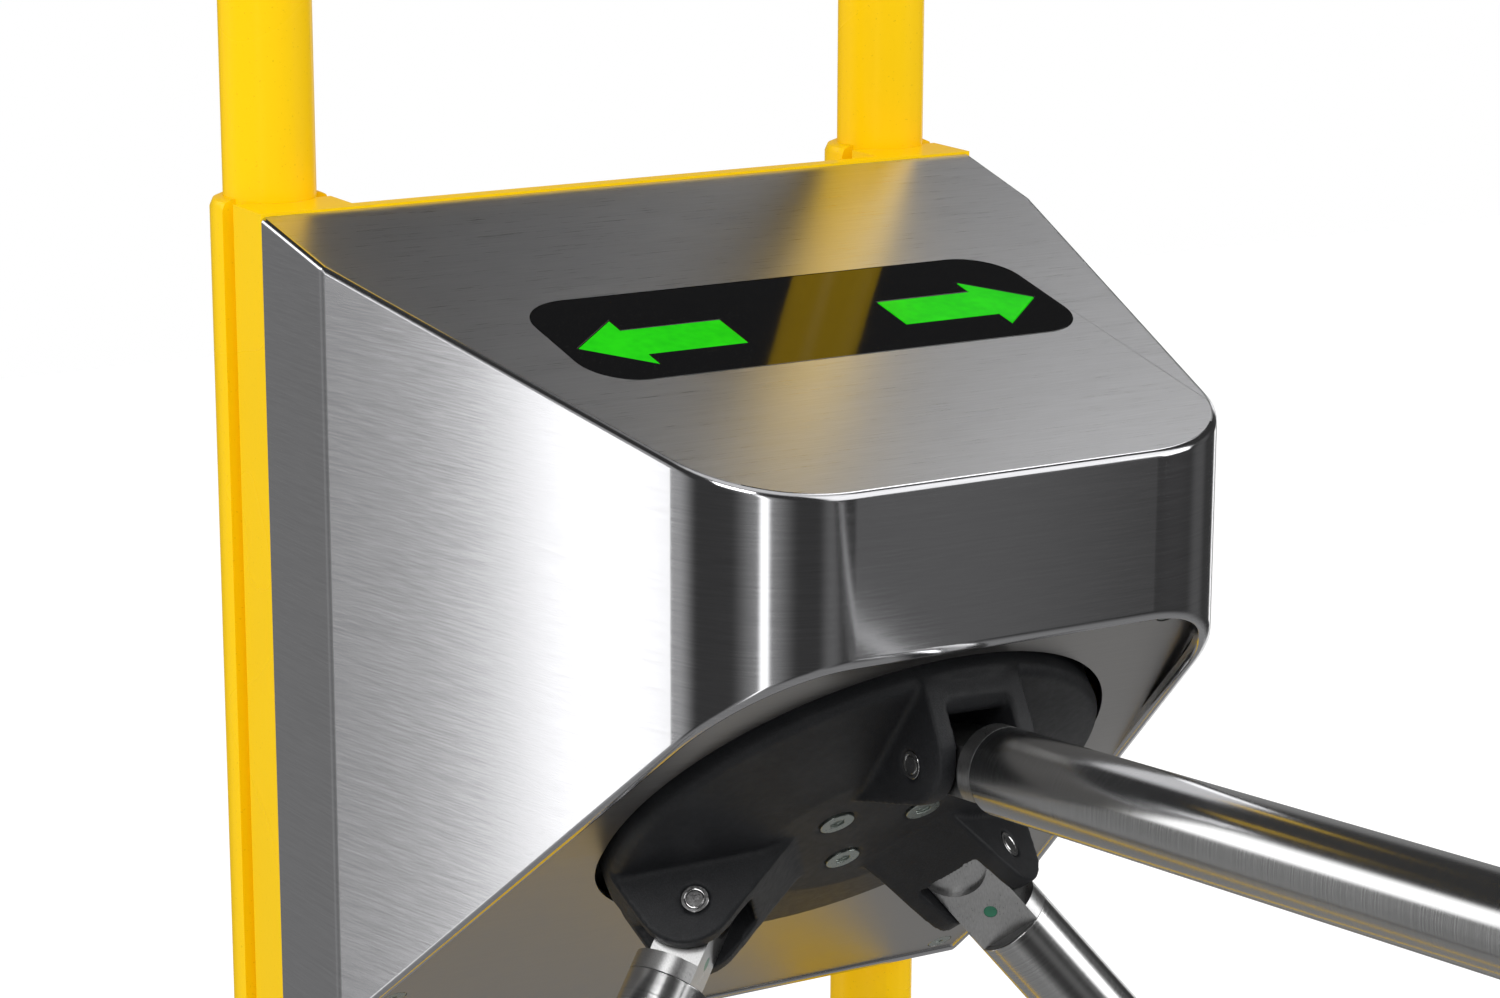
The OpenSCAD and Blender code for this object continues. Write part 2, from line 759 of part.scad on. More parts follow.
// Side bracket from the back frame to the lower bearing plate's rear face
module side_bracket(s) {
    reach = chassis_l / 2 - 30;
    hub_y = -head_depth + hub_along * cos(under_slope);
    hub_z = front_low_z - hub_along * sin(under_slope);
    back_y = -chassis_back * cos(hub_incline);
    back_z = -chassis_back * sin(hub_incline);
    function on_plate(t) = [hub_y + back_y - t * sin(hub_incline), hub_z + back_z + t * cos(hub_incline)];
    x0 = chassis_w / 2 - bracket_t;
    foot_w = 12;
    color(steel) head_frame() {
        translate([s > 0 ? x0 : -x0 - bracket_t, 0, 0]) rotate([90, 0, 90]) linear_extrude(bracket_t)
            polygon([on_plate(reach), on_plate(-reach), [0, bracket_low], [0, bracket_high]]);
        translate([s > 0 ? x0 : -x0 - foot_w, -bracket_t, bracket_low])
            cube([foot_w, bracket_t, bracket_high - bracket_low]);
    }
}

module controller_board() {
    color(board_green) head_frame() {
        translate([-board_x, board_y, board_zs[0]]) cube([2 * board_x, board_t, board_zs[1] - board_zs[0]]);
        for (k = [-2:2]) translate([k * 20 - 7, board_y - 9, board_zs[0] + 6]) cube([14, 9 + eps, 10]);
        translate([-20, board_y - 4, -110]) cube([24, 4 + eps, 24]);
        translate([20, board_y - 14, -120]) cube([26, 14 + eps, 32]);
    }
}

module board_spacers() {
    color(brass_tone) head_frame() for (x = [-1, 1], z = board_zs) {
        rod_y(3, x * (board_x - 6), z + (z < -100 ? 6 : -6), board_y + board_t, frame_t);
        rod_y(1.6 - seat_gap, x * (board_x - 6), z + (z < -100 ? 6 : -6), frame_t - eps, frame_t + cover_t);
    }
}

module pawl_pins() {
    color(steel) head_frame() axis_frame() {
        for (s = [-1, 1]) translate([s * pawl_x, pawl_y, 0]) {
            disc(5, lock_z[1] + 0.3, chassis_back);
            disc(pawl_pin_r, lock_z[0] - 3, lock_z[1] + 0.3 + eps);
        }
        translate([lever_pin[0], lever_pin[1], 0]) {
            disc(5, upper_front, cam_z[0] - 0.3);
            disc(pawl_pin_r, cam_z[0] - 0.3 - eps, cam_z[1] + 3);
        }
    }
}

// Lock pawl, drawn back from the lock wheel
module pawl(s) {
    color(steel) head_frame() axis_frame() mirror([s < 0 ? 1 : 0, 0, 0]) difference() {
        translate([0, 0, lock_z[0]]) linear_extrude(lock_z[1] - lock_z[0]) {
            translate([pawl_x, pawl_y]) circle(7);
            translate([pawl_bar_in, pawl_tail]) square([pawl_bar_w, pawl_y - pawl_tail]);
            translate([pawl_tip, pawl_nose_y]) square([pawl_bar_in - pawl_tip + eps, pawl_nose_w]);
        }
        translate([pawl_x, pawl_y, 0]) disc(pawl_pin_r + run_gap, lock_z[0] - cut, lock_z[1] + cut);
    }
}

// Solenoid on its foot, with a bore for the plunger
module solenoid(s) {
    color(black) head_frame() axis_frame() mirror([s < 0 ? 1 : 0, 0, 0]) difference() {
        translate([solenoid_x[0], plunger_y - solenoid_half, plunger_z - solenoid_half])
            cube([solenoid_x[1] - solenoid_x[0], 2 * solenoid_half, chassis_back - plunger_z + solenoid_half]);
        translate([solenoid_x[0] - cut, plunger_y, plunger_z]) rotate([0, 90, 0])
            cylinder(r = plunger_r + run_gap, h = solenoid_x[1] - solenoid_x[0] - 4);
    }
}

module plunger(s) {
    start = pawl_bar_in + pawl_bar_w + 0.5 + plunger_r;
    color(steel) head_frame() axis_frame() mirror([s < 0 ? 1 : 0, 0, 0])
        translate([start, plunger_y, plunger_z]) {
            rotate([0, 90, 0]) cylinder(r = plunger_r, h = solenoid_x[1] - 8 - start);
            sphere(plunger_r);
        }
}

module detent_lever() {
    color(steel) head_frame() axis_frame() difference() {
        translate([0, 0, cam_z[0]]) linear_extrude(cam_z[1] - cam_z[0]) {
            translate(lever_pin) circle(7);
            translate(lever_nose) circle(lever_nose_r);
            way = unit(lever_pin - lever_nose);
            side = [-way[1], way[0]] * 4;
            polygon([lever_nose + side, lever_nose - side, lever_pin - side, lever_pin + side]);
        }
        translate([lever_pin[0], lever_pin[1], 0])
            disc(pawl_pin_r + run_gap, cam_z[0] - cut, cam_z[1] + cut);
    }
}

// Involute gear outline, with the flanks thinned by play
function involute(rb, t) = rb * [cos(t) + t * PI / 180 * sin(t), sin(t) - t * PI / 180 * cos(t)];
function turned(p, a) = [p[0] * cos(a) - p[1] * sin(a), p[0] * sin(a) + p[1] * cos(a)];

module gear(teeth, play, turn) {
    pressure = 20;
    rp = gear_module * teeth / 2;
    rb = rp * cos(pressure);
    rt = rp + gear_module * 0.8;
    rr = rp - gear_module * 1.2;
    half = 90 / teeth - play / rp * 180 / PI / 2;      // half tooth angle at the pitch circle
    roll_p = sqrt(pow(rp / rb, 2) - 1) * 180 / PI;
    roll_t = sqrt(pow(rt / rb, 2) - 1) * 180 / PI;
    start = atan2(involute(rb, roll_p)[1], involute(rb, roll_p)[0]);
    flank = [for (k = [0:4]) turned(involute(rb, roll_t * k / 4), -half - start)];
    foot = turned([rr, 0], -half - start);
    one = concat([foot], flank, [for (k = [4:-1:0]) [flank[k][0], -flank[k][1]]], [[foot[0], -foot[1]]]);
    polygon([for (i = [0:teeth - 1], p = one) turned(p, i * 360 / teeth + turn)]);
}

module damper_pinion() {
    color(brass_tone) head_frame() axis_frame() translate([0, gear_centres, 0]) {
        translate([0, 0, gear_z[0]]) linear_extrude(gear_z[1] - gear_z[0])
            gear(pinion_teeth, 0.12, -90 + 180 / pinion_teeth);
        disc(5, upper_back - 3, gear_z[0] + eps);
    }
}

module damper_body() {
    color(black) head_frame() axis_frame() translate([0, gear_centres, 0]) difference() {
        disc(damper_r, upper_back - damper_l, upper_back);
        disc(5 + run_gap, upper_back - 4, upper_back + cut);
    }
}

module encoder_board() {
    color(board_green) head_frame() axis_frame() {
        translate([-16, -44, encoder_z[0] - 6]) cube([32, 29, board_t]);
        translate([-6, -26, encoder_z[0] - 6 + board_t - eps]) cube([12, 11, 3.6]);
        for (x = [-1, 1]) translate([x * 11, -38, 0]) disc(3, encoder_z[0] - 6 + board_t - eps, upper_back);
    }
}

// Hub, all of it turning about the inclined axis

// One clevis block, from its outline square to the pin
module clevis_block(i) {
    tip = [ear_tip, hub_edge];
    root = [ear_root, hub_dome - 0.5];
    to_root = root - ear_centre;
    to_tip = tip - ear_centre;
    root_way = atan2(to_root[1], to_root[0]) - acos(ear_r / norm(to_root));
    tip_way = atan2(to_tip[1], to_tip[0]) + acos(ear_r / norm(to_tip));
    root_touch = ear_centre + ear_r * [cos(root_way), sin(root_way)];
    tip_touch = ear_centre + ear_r * [cos(tip_way), sin(tip_way)];
    rotate([0, 0, -arm_turns[i]]) translate([-ears_w / 2, 0, 0])
        rotate([90, 0, 90]) linear_extrude(ears_w) {
            polygon([[ear_root, casting_floor], [ear_tip, casting_floor], tip, tip_touch,
                ear_centre, root_touch, root]);
            translate(ear_centre) circle(ear_r);
        }
}

module hub_casting() {
    screw_r = 4;
    color(black) head_frame() hub_frame() difference() {
        union() {
            rotate_extrude() polygon([[0, casting_floor], [hub_r - 5, casting_floor],
                [hub_r - 5, -hub_skirt], [hub_r, -hub_skirt], [hub_r, hub_edge - 2.4],
                [hub_r - 2, hub_edge], [45, hub_dome], [0, hub_dome]]);
            for (i = [0:2]) clevis_block(i);
        }
        for (i = [0:2]) rotate([0, 0, -arm_turns[i]]) {
            translate([-slot_w / 2, 0, 0]) rotate([90, 0, 90]) linear_extrude(slot_w) polygon(concat(
                [[slot_inner, slot_floor]], [for (p = slot_web) [pin_at + p[0], pin_h + p[1]]],
                [[hub_r + cut, slot_floor], [2 * hub_r, slot_floor], [2 * hub_r, slot_floor + 60],
                    [slot_inner, slot_floor + 60]]));
            translate([-ears_w, pin_at, pin_h]) rotate([0, 90, 0])
                cylinder(d = pin_d + 2 * pin_gap, h = 2 * ears_w);
            rotate([0, 0, 60]) translate([0, hub_screws_pcd / 2, 0]) {
                disc(screw_r + seat_gap, casting_floor - cut, hub_dome + cut);
                disc(hub_screw_head / 2 + 0.6, hub_dome - 1, hub_dome + cut);
            }
        }
    }
}

module hub_screws() {
    color(steel) head_frame() hub_frame() for (i = [0:2])
        rotate([0, 0, 60 - arm_turns[i]]) translate([0, hub_screws_pcd / 2, 0]) difference() {
            union() {
                disc(4, casting_floor - shaft_flange_t + 0.5, hub_dome - 1 + eps);
                disc(hub_screw_head / 2, hub_dome - 1, hub_dome + 0.6);
            }
            disc(3, hub_dome - 0.6, hub_dome + cut, $fn = 6);
        }
}

module pivot_pins() {
    color(steel) head_frame() hub_frame() for (i = [0:2]) rotate([0, 0, -arm_turns[i]])
        translate([-ears_w / 2 + 0.2, pin_at, pin_h]) rotate([0, 90, 0])
            cylinder(d = pin_d, h = ears_w - 0.4);
}

module main_shaft() {
    color(steel) head_frame() hub_frame() difference() {
        union() {
            disc(shaft_r, shaft_end, casting_floor);
            disc(shaft_flange_r, casting_floor - shaft_flange_t, casting_floor);
        }
        for (i = [0:2]) rotate([0, 0, 60 - arm_turns[i]]) translate([0, hub_screws_pcd / 2, 0])
            disc(4 + seat_gap, casting_floor - shaft_flange_t - cut, casting_floor + cut);
    }
}

module lock_wheel() {
    color(steel) head_frame() axis_frame() difference() {
        ring(lock_r, shaft_r + seat_gap, lock_z[0], lock_z[1]);
        for (k = [0:lock_notches - 1]) rotate([0, 0, k * 360 / lock_notches])
            translate([lock_r - notch_depth, -notch_w / 2, lock_z[0] - cut])
                cube([notch_depth + cut, notch_w, lock_z[1] - lock_z[0] + 2 * cut]);
    }
}

module index_cam() {
    color(steel) head_frame() hub_frame() difference() {
        translate([0, 0, cam_z[0]]) linear_extrude(cam_z[1] - cam_z[0]) {
            circle(cam_r - lobe_drop);
            for (k = [0:2]) rotate(k * 120) translate([0, cam_r - lobe_drop]) circle(lobe_drop);
        }
        disc(shaft_r + seat_gap, cam_z[0] - cut, cam_z[1] + cut);
    }
}

module drive_gear() {
    color(brass_tone) head_frame() axis_frame() difference() {
        translate([0, 0, gear_z[0]]) linear_extrude(gear_z[1] - gear_z[0]) gear(gear_teeth, 0.12, 90);
        disc(shaft_r + seat_gap, gear_z[0] - cut, gear_z[1] + cut);
    }
}

module shaft_collar() {
    color(steel) head_frame() axis_frame() ring(upper_ring_r - 6, shaft_r + seat_gap, upper_back - 12, upper_back - 4.3);
}

module encoder_disc() {
    color(black) head_frame() axis_frame() ring(encoder_r, shaft_r + seat_gap, encoder_z[0], encoder_z[1]);
}

// Arms

module arm_root(i) {
    color(steel) head_frame() arm_frame(i) difference() {
        union() {
            translate([0, 0, arm_shoulder]) cylinder(d = arm_d, h = arm_seam - arm_shoulder);
            translate([0, 0, arm_seam - eps])
                cylinder(d = arm_d - 2 * arm_wall - 2 * plug_clear, h = plug_depth);
            intersection() {
                translate([-tongue_w / 2, -tongue_half, -tongue_tail])
                    cube([tongue_w, 2 * tongue_half, tongue_tail + arm_shoulder + eps]);
                translate([0, 0, -tongue_tail - cut]) cylinder(d = arm_d, h = 60);
            }
        }
        translate([-ears_w, 0, 0]) rotate([0, 90, 0]) cylinder(d = pin_d + 2 * pin_gap, h = 2 * ears_w);
        translate([-arm_d, -arm_d, -30]) cube([2 * arm_d, arm_d - tongue_half, arm_seam + 30]);
        translate([0, -shoulder_half, shoulder_at]) rotate([90, 0, 0])
            cylinder(r = shoulder_r + 0.01, h = arm_d);
        translate([-arm_d, -arm_d - shoulder_half, -30]) cube([2 * arm_d, arm_d, 30 + shoulder_at]);
        translate([0, -tongue_half + marker_t, marker_at]) rotate([90, 0, 0])
            cylinder(d = marker_d + 0.1, h = arm_d);
    }
}

module arm_marker(i) {
    color("green") head_frame() arm_frame(i) translate([0, -tongue_half + marker_t, marker_at])
        rotate([90, 0, 0]) cylinder(d = marker_d, h = marker_t);
}

module arm_tube(i) {
    color(steel) head_frame() arm_frame(i) ring(arm_d / 2, arm_d / 2 - arm_wall, arm_seam, arm_l - end_cap_t);
}

module arm_cap(i) {
    color(black) head_frame() arm_frame(i) {
        disc(arm_d / 2 - arm_wall - plug_clear, arm_l - end_cap_t - 18, arm_l - end_cap_t + eps);
        translate([0, 0, arm_l - end_cap_t]) cylinder(d1 = arm_d, d2 = arm_d - 2, h = end_cap_t);
    }
}

base_plate();
post(-1);  // post_left
post(1);  // post_right
post_caps();
frame_plate();
clamp(-1);  // clamp_left
clamp(1);  // clamp_right
clamp_bolts();
rear_cover();
cover_screws();
housing_shell();
underside_plate();
underside_screws();
display_window();
arrow(-1);  // arrow_left
arrow(1);  // arrow_right
display_bracket();
led_boards();
side_bracket(-1);  // bracket_left
side_bracket(1);  // bracket_right
chassis_plate();
upper_plate();
chassis_spacers();
lower_bearing();
upper_bearing();
controller_board();
board_spacers();
cable_grommet();
pawl_pins();
solenoid(-1);  // solenoid_left
solenoid(1);  // solenoid_right
damper_body();
encoder_board();
hub_casting();
hub_screws();
pivot_pins();
main_shaft();
lock_wheel();
index_cam();
drive_gear();
encoder_disc();
shaft_collar();
arm_root(0);  // arm_root_1
arm_root(1);  // arm_root_2
arm_root(2);  // arm_root_3
arm_tube(0);  // arm_tube_1
arm_tube(1);  // arm_tube_2
arm_tube(2);  // arm_tube_3
arm_cap(0);  // arm_cap_1
arm_cap(1);  // arm_cap_2
arm_cap(2);  // arm_cap_3
arm_marker(0);  // arm_marker_1
arm_marker(1);  // arm_marker_2
arm_marker(2);  // arm_marker_3
damper_pinion();
pawl(-1);  // pawl_left
pawl(1);  // pawl_right
plunger(-1);  // plunger_left
plunger(1);  // plunger_right
detent_lever();
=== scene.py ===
# Looks for the tripod turnstile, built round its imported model, in metres
import json
import math
import bpy
import bmesh
from mathutils import Matrix, Vector

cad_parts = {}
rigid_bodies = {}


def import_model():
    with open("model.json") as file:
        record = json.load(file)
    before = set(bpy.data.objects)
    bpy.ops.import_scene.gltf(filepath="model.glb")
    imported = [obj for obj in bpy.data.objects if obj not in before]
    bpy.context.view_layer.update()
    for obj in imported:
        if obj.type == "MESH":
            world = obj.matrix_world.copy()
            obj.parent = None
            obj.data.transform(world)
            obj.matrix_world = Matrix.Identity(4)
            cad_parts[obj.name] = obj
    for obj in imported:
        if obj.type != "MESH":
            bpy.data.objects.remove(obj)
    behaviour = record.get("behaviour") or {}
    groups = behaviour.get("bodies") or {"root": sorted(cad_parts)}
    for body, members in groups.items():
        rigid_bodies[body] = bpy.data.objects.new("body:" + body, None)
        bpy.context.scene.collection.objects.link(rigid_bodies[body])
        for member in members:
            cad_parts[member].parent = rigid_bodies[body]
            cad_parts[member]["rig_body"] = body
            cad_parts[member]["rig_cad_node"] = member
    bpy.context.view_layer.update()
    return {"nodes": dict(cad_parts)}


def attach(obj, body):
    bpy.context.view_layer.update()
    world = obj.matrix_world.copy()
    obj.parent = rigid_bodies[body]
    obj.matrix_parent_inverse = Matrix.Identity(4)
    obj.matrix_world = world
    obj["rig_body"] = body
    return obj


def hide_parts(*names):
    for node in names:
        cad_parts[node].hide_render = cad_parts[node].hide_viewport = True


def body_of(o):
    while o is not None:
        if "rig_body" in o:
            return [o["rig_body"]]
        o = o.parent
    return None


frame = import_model()
nodes = frame["nodes"]
print("frame loaded:", len(nodes), "nodes")

ops = bpy.ops
rad = math.radians

# places, the same as the model's: the head's rear top edge, its faces, the hub and the arms
head = {"postBack": 0.0369, "top": 1.060, "width": 0.309, "bendWidth": 0.3045, "bendDepth": 0.047,
        "noseWidth": 0.198, "depth": 0.260, "noseRadius": 0.0504, "topSlope": 13.0,
        "frontHeight": 0.058, "underSlope": 40.5}
hub = {"along": 0.127, "incline": 45.5, "turn": 2.65, "pinAt": 0.0675, "pinHeight": 0.0215}
arms = [{"turn": 0, "cone": 50.3}, {"turn": -120, "cone": 43.5}, {"turn": 120, "cone": 46.7}]

frontTop = -head["depth"] * math.tan(rad(head["topSlope"]))
frontLow = frontTop - head["frontHeight"]
headHeight = -frontLow + head["depth"] * math.tan(rad(head["underSlope"]))


def turned(degrees, axis):
    return Matrix.Rotation(rad(degrees), 4, axis)


def moved(x, y, z):
    return Matrix.Translation((x, y, z))


headPlace = moved(0, -head["postBack"], head["top"])
underPlace = headPlace @ moved(0, -head["depth"], frontLow) @ turned(-head["underSlope"], "X")
hubPlace = (underPlace @ moved(0, hub["along"], 0)
            @ turned(head["underSlope"] + 90 + hub["incline"], "X") @ turned(-hub["turn"], "Z"))


def armPlace(k):
    return (hubPlace @ turned(-arms[k]["turn"], "Z") @ moved(0, hub["pinAt"], hub["pinHeight"])
            @ turned(-arms[k]["cone"], "X"))


# the camera comes first, at the photograph's place and angle
view = {"at": (-0.7075, -1.3305, 1.2984), "yaw": -30.427, "pitch": 13.832, "roll": 0.14,
        "lens": 93.05, "sensor": 36, "far": 30}
camera = bpy.data.objects.new("camera", bpy.data.cameras.new("camera"))
bpy.context.scene.collection.objects.link(camera)
camera.data.lens = view["lens"]
camera.data.sensor_width = view["sensor"]
camera.data.clip_end = view["far"]
camera.matrix_world = (moved(*view["at"]) @ turned(view["yaw"], "Z")
                       @ turned(90 - view["pitch"], "X") @ turned(view["roll"], "Z"))
bpy.context.scene.camera = camera
bpy.context.scene.view_settings.view_transform = "Standard"
print("camera placed")


# one value in a shader, so that shader sums are written as plain expressions
class Wire:
    def __init__(self, shade, socket):
        self.shade = shade
        self.socket = socket

    def math(self, operation, *others):
        return self.shade.node("ShaderNodeMath", {"operation": operation}, dict(enumerate((self, *others))))

    def __add__(self, other):
        return self.math("ADD", other)

    def __sub__(self, other):
        return self.math("SUBTRACT", other)

    def __mul__(self, other):
        return self.math("MULTIPLY", other)

    def __rsub__(self, other):
        return self * -1 + other

    __radd__ = __add__
    __rmul__ = __mul__

    # 0 below low, 1 above high, smooth between
    def step(self, low, high):
        return self.shade.node("ShaderNodeMapRange", {"interpolation_type": "SMOOTHSTEP"},
                               {"Value": self, "From Min": low, "From Max": high})


# the mix node has its sockets once for each kind of value, under the same names, so they go by number
mixSockets = {"RGBA": {"amount": 0, "low": 6, "high": 7, "out": 2},
              "FLOAT": {"amount": 0, "low": 2, "high": 3, "out": 0}}


# the nodes of a material or of the world, round its last shader
class Shade:
    def __init__(self, owner, skin, **values):
        owner.use_nodes = True
        self.owner = owner
        self.tree = owner.node_tree
        self.skin = self.tree.nodes[skin]
        self.feed(**values)

    def node(self, kind, settings=None, sockets=None, out=0):
        made = self.tree.nodes.new(kind)
        for key, value in (settings or {}).items():
            setattr(made, key, value)
        for key, value in (sockets or {}).items():
            self.plug(made.inputs[key], value)
        return Wire(self, made.outputs[out])

    def plug(self, socket, value):
        if isinstance(value, Wire):
            self.tree.links.new(value.socket, socket)
        else:
            socket.default_value = value

    # values and links into the skin's own sockets
    def feed(self, **values):
        for socket, value in values.items():
            self.plug(self.skin.inputs[socket.replace("_", " ")], value)

    def place(self, scale=(1, 1, 1)):
        where = self.node("ShaderNodeTexCoord", out="Object")
        return self.node("ShaderNodeMapping", None, {"Vector": where, "Scale": scale})

    def noise(self, scale, detail, roughness=0.5):
        if not isinstance(scale, tuple):
            scale = (scale,) * 3
        return self.node("ShaderNodeTexNoise", None, {"Vector": self.place(scale), "Scale": 1.0,
                                                      "Detail": detail, "Roughness": roughness})

    # how much the surface faces along an axis
    def facing(self, axis):
        normal = self.node("ShaderNodeNewGeometry", out="Normal")
        return self.node("ShaderNodeSeparateXYZ", None, {"Vector": normal}, out=axis)

    def ray(self, kind):
        return self.node("ShaderNodeLightPath", out=kind)

    def mix(self, kind, amount, low, high):
        at = mixSockets[kind]
        return self.node("ShaderNodeMix", {"data_type": kind},
                         {at["amount"]: amount, at["low"]: low, at["high"]: high}, out=at["out"])

    # a colour between two colours
    def blend(self, amount, low, high):
        return self.mix("RGBA", amount, low, high)

    # a number between two numbers
    def pick(self, amount, low, high):
        return self.mix("FLOAT", amount, low, high)

    def bump(self, height, strength, depth):
        return self.node("ShaderNodeBump", None, {"Strength": strength, "Distance": depth, "Height": height})


def newShade(name, **values):
    return Shade(bpy.data.materials.new(name), "Principled BSDF", **values)


def grey(v):
    return (v, v, v, 1)


# two layers of noise, added and spread over the whole range
def layered(first, second, share, low=0.3, high=0.7):
    return (first * share + second * (1 - share)).step(low, high)


# brushed stainless sheet: the grain runs level on every face of the head
brushed = {"light": (0.62, 0.62, 0.635, 1), "dark": (0.55, 0.55, 0.565, 1), "smooth": 0.11, "rough": 0.16,
           "anisotropy": 0.72, "rotation": 0.25, "bump": 0.02, "depth": 0.0004, "share": 0.6,
           "lying": (0.5, 0.6),
           "fine": {"across": 3600, "along": 70, "detail": 2.0, "roughness": 0.5},
           "broad": {"across": 1300, "along": 22, "detail": 4.0, "roughness": 0.6}}
# the top's copy is rougher and not anisotropic; its slightly darker dark grain is painted shade
brushedTopShaded = {**brushed, "dark": (0.53, 0.53, 0.54, 1), "smooth": 0.27, "rough": 0.34, "anisotropy": 0.0}
# the underside's copy is rougher and not anisotropic; its darker, slightly warmer colour is painted shade on
# the downward-facing plate
brushedUnderShaded = {**brushed, "light": (0.48, 0.47, 0.46, 1), "dark": (0.42, 0.41, 0.40, 1),
                "smooth": 0.30, "rough": 0.38, "anisotropy": 0.0}


def makeBrushed(name, spec):
    shade = newShade(name, Metallic=1.0, Anisotropic=spec["anisotropy"],
                     Anisotropic_Rotation=spec["rotation"])
    lying = shade.facing("Z").math("ABSOLUTE").step(*spec["lying"])

    def lines(layer):
        across, along = layer["across"], layer["along"]
        side = shade.noise((along, along, across), layer["detail"], layer["roughness"])
        top = shade.noise((along, across, along), layer["detail"], layer["roughness"])
        return shade.pick(lying, side, top)

    fine = lines(spec["fine"])
    grain = layered(fine, lines(spec["broad"]), spec["share"])
    shade.feed(Base_Color=shade.blend(grain, spec["dark"], spec["light"]),
               Roughness=shade.pick(grain, spec["smooth"], spec["rough"]),
               Normal=shade.bump(fine, spec["bump"], spec["depth"]))
    return shade.owner


# satin tube: the polishing marks run round the arm, so the tone changes along it
satin = {"light": grey(0.62), "dark": grey(0.52), "smooth": 0.15, "rough": 0.22, "bump": 0.012,
         "depth": 0.0003, "share": 0.75, "marks": 1500, "detail": 3.0, "patches": 14, "patchDetail": 2.0}


def makeSatin(name, spec, k):
    shade = newShade(name, Metallic=1.0)
    way = armPlace(k).to_3x3() @ Vector((0, 0, 1))
    here = shade.node("ShaderNodeTexCoord", out="Object")
    along = shade.node("ShaderNodeVectorMath", {"operation": "DOT_PRODUCT"}, {0: here, 1: tuple(way)},
                       out="Value")
    marks = shade.node("ShaderNodeTexNoise", {"noise_dimensions": "1D"},
                       {"W": along * spec["marks"], "Scale": 1.0, "Detail": spec["detail"]})
    grain = layered(marks, shade.noise(spec["patches"], spec["patchDetail"]), spec["share"])
    shade.feed(Base_Color=shade.blend(grain, spec["dark"], spec["light"]),
               Roughness=shade.pick(grain, spec["smooth"], spec["rough"]),
               Normal=shade.bump(marks, spec["bump"], spec["depth"]))
    return shade.owner


# milled steel: duller, with the cutter's marks upright
milled = {"marks": (2200, 2200, 60), "detail": 2.0, "patches": 60, "patchDetail": 3.0, "share": 0.6,
          "spread": (0.25, 0.75), "darker": 0.72, "smooth": 0.26, "rough": 0.36}


def makeMilled(name, spec, tone):
    shade = newShade(name, Metallic=1.0)
    marks = shade.noise(spec["marks"], spec["detail"])
    patches = shade.noise(spec["patches"], spec["patchDetail"])
    grain = layered(marks, patches, spec["share"], *spec["spread"])
    shade.feed(Base_Color=shade.blend(grain, grey(tone * spec["darker"]), grey(tone)),
               Roughness=shade.pick(grain, spec["smooth"], spec["rough"]))
    return shade.owner


# yellow powder coat, with orange peel and a few dark specks
powderCoat = {"deep": (0.95, 0.585, 0.001, 1), "bright": (0.99, 0.635, 0.002, 1), "tone": 7,
              "speck": (0.62, 0.36, 0.001, 1), "specks": 900, "speckFrom": (0.70, 0.76), "speckShare": 0.35,
              "specular": 0.14, "smooth": 0.22, "rough": 0.32, "peel": 420, "bump": 0.10, "depth": 0.0005}


def makePowderCoat(name, spec):
    shade = newShade(name, Specular_IOR_Level=spec["specular"])
    peel = shade.noise(spec["peel"], detail=2.0)
    tone = shade.noise(spec["tone"], detail=2.0)
    specks = shade.noise(spec["specks"], detail=1.0).step(*spec["speckFrom"])
    paint = shade.blend(tone, spec["deep"], spec["bright"])
    shade.feed(Base_Color=shade.blend(specks * spec["speckShare"], paint, spec["speck"]),
               Roughness=shade.pick(tone, spec["smooth"], spec["rough"]),
               Normal=shade.bump(peel, spec["bump"], spec["depth"]))
    return shade.owner


# black casting: a sandy skin over soft lumps, rubbed paler in places
sandy = {"dark": (0.0075, 0.008, 0.0095, 1), "light": (0.017, 0.018, 0.021, 1), "toneFrom": (0.35, 0.75),
         "rubbed": (0.035, 0.036, 0.038, 1), "wear": 40, "wearFrom": (0.45, 0.75), "wearShare": 0.25,
         "grains": 1900, "grainDetail": 4.0, "grainRoughness": 0.7, "lumps": 300, "grainShare": 0.7,
         "specular": 0.35, "smooth": 0.42, "rough": 0.6, "bump": 0.35, "depth": 0.0006}


def makeCast(name, spec):
    shade = newShade(name, Specular_IOR_Level=spec["specular"])
    grains = shade.noise(spec["grains"], spec["grainDetail"], spec["grainRoughness"])
    lumps = shade.noise(spec["lumps"], detail=3.0)
    wear = shade.noise(spec["wear"], detail=3.0).step(*spec["wearFrom"])
    tone = shade.blend(grains.step(*spec["toneFrom"]), spec["dark"], spec["light"])
    skin = grains * spec["grainShare"] + lumps * (1 - spec["grainShare"])
    shade.feed(Base_Color=shade.blend(wear * spec["wearShare"], tone, spec["rubbed"]),
               Roughness=shade.pick(lumps, spec["smooth"], spec["rough"]),
               Normal=shade.bump(skin, spec["bump"], spec["depth"]))
    return shade.owner


# black window: glossy, with a little dust and haze
glassy = {"black": (0.0035, 0.0035, 0.004, 1), "dust": (0.03, 0.03, 0.028, 1), "dustSize": 1400,
          "dustFrom": (0.66, 0.74), "haze": 25, "specular": 0.4, "smooth": 0.04, "rough": 0.08}


def makeWindow(name, spec):
    shade = newShade(name, Specular_IOR_Level=spec["specular"])
    dust = shade.noise(spec["dustSize"], detail=2.0).step(*spec["dustFrom"])
    haze = shade.noise(spec["haze"], detail=3.0)
    shade.feed(Base_Color=shade.blend(dust, spec["black"], spec["dust"]),
               Roughness=shade.pick(haze, spec["smooth"], spec["rough"]))
    return shade.owner


# lit arrows: the glow is a little uneven, as over light cells
glowing = {"dim": (0.004, 0.44, 0.0, 1), "bright": (0.012, 0.54, 0.0, 1), "dark": (0.002, 0.10, 0.001, 1),
           "light": (0.003, 0.14, 0.001, 1), "cells": 260, "glow": 38, "share": 0.4, "strength": 1.0,
           "specular": 0.08, "smooth": 0.3, "rough": 0.4}


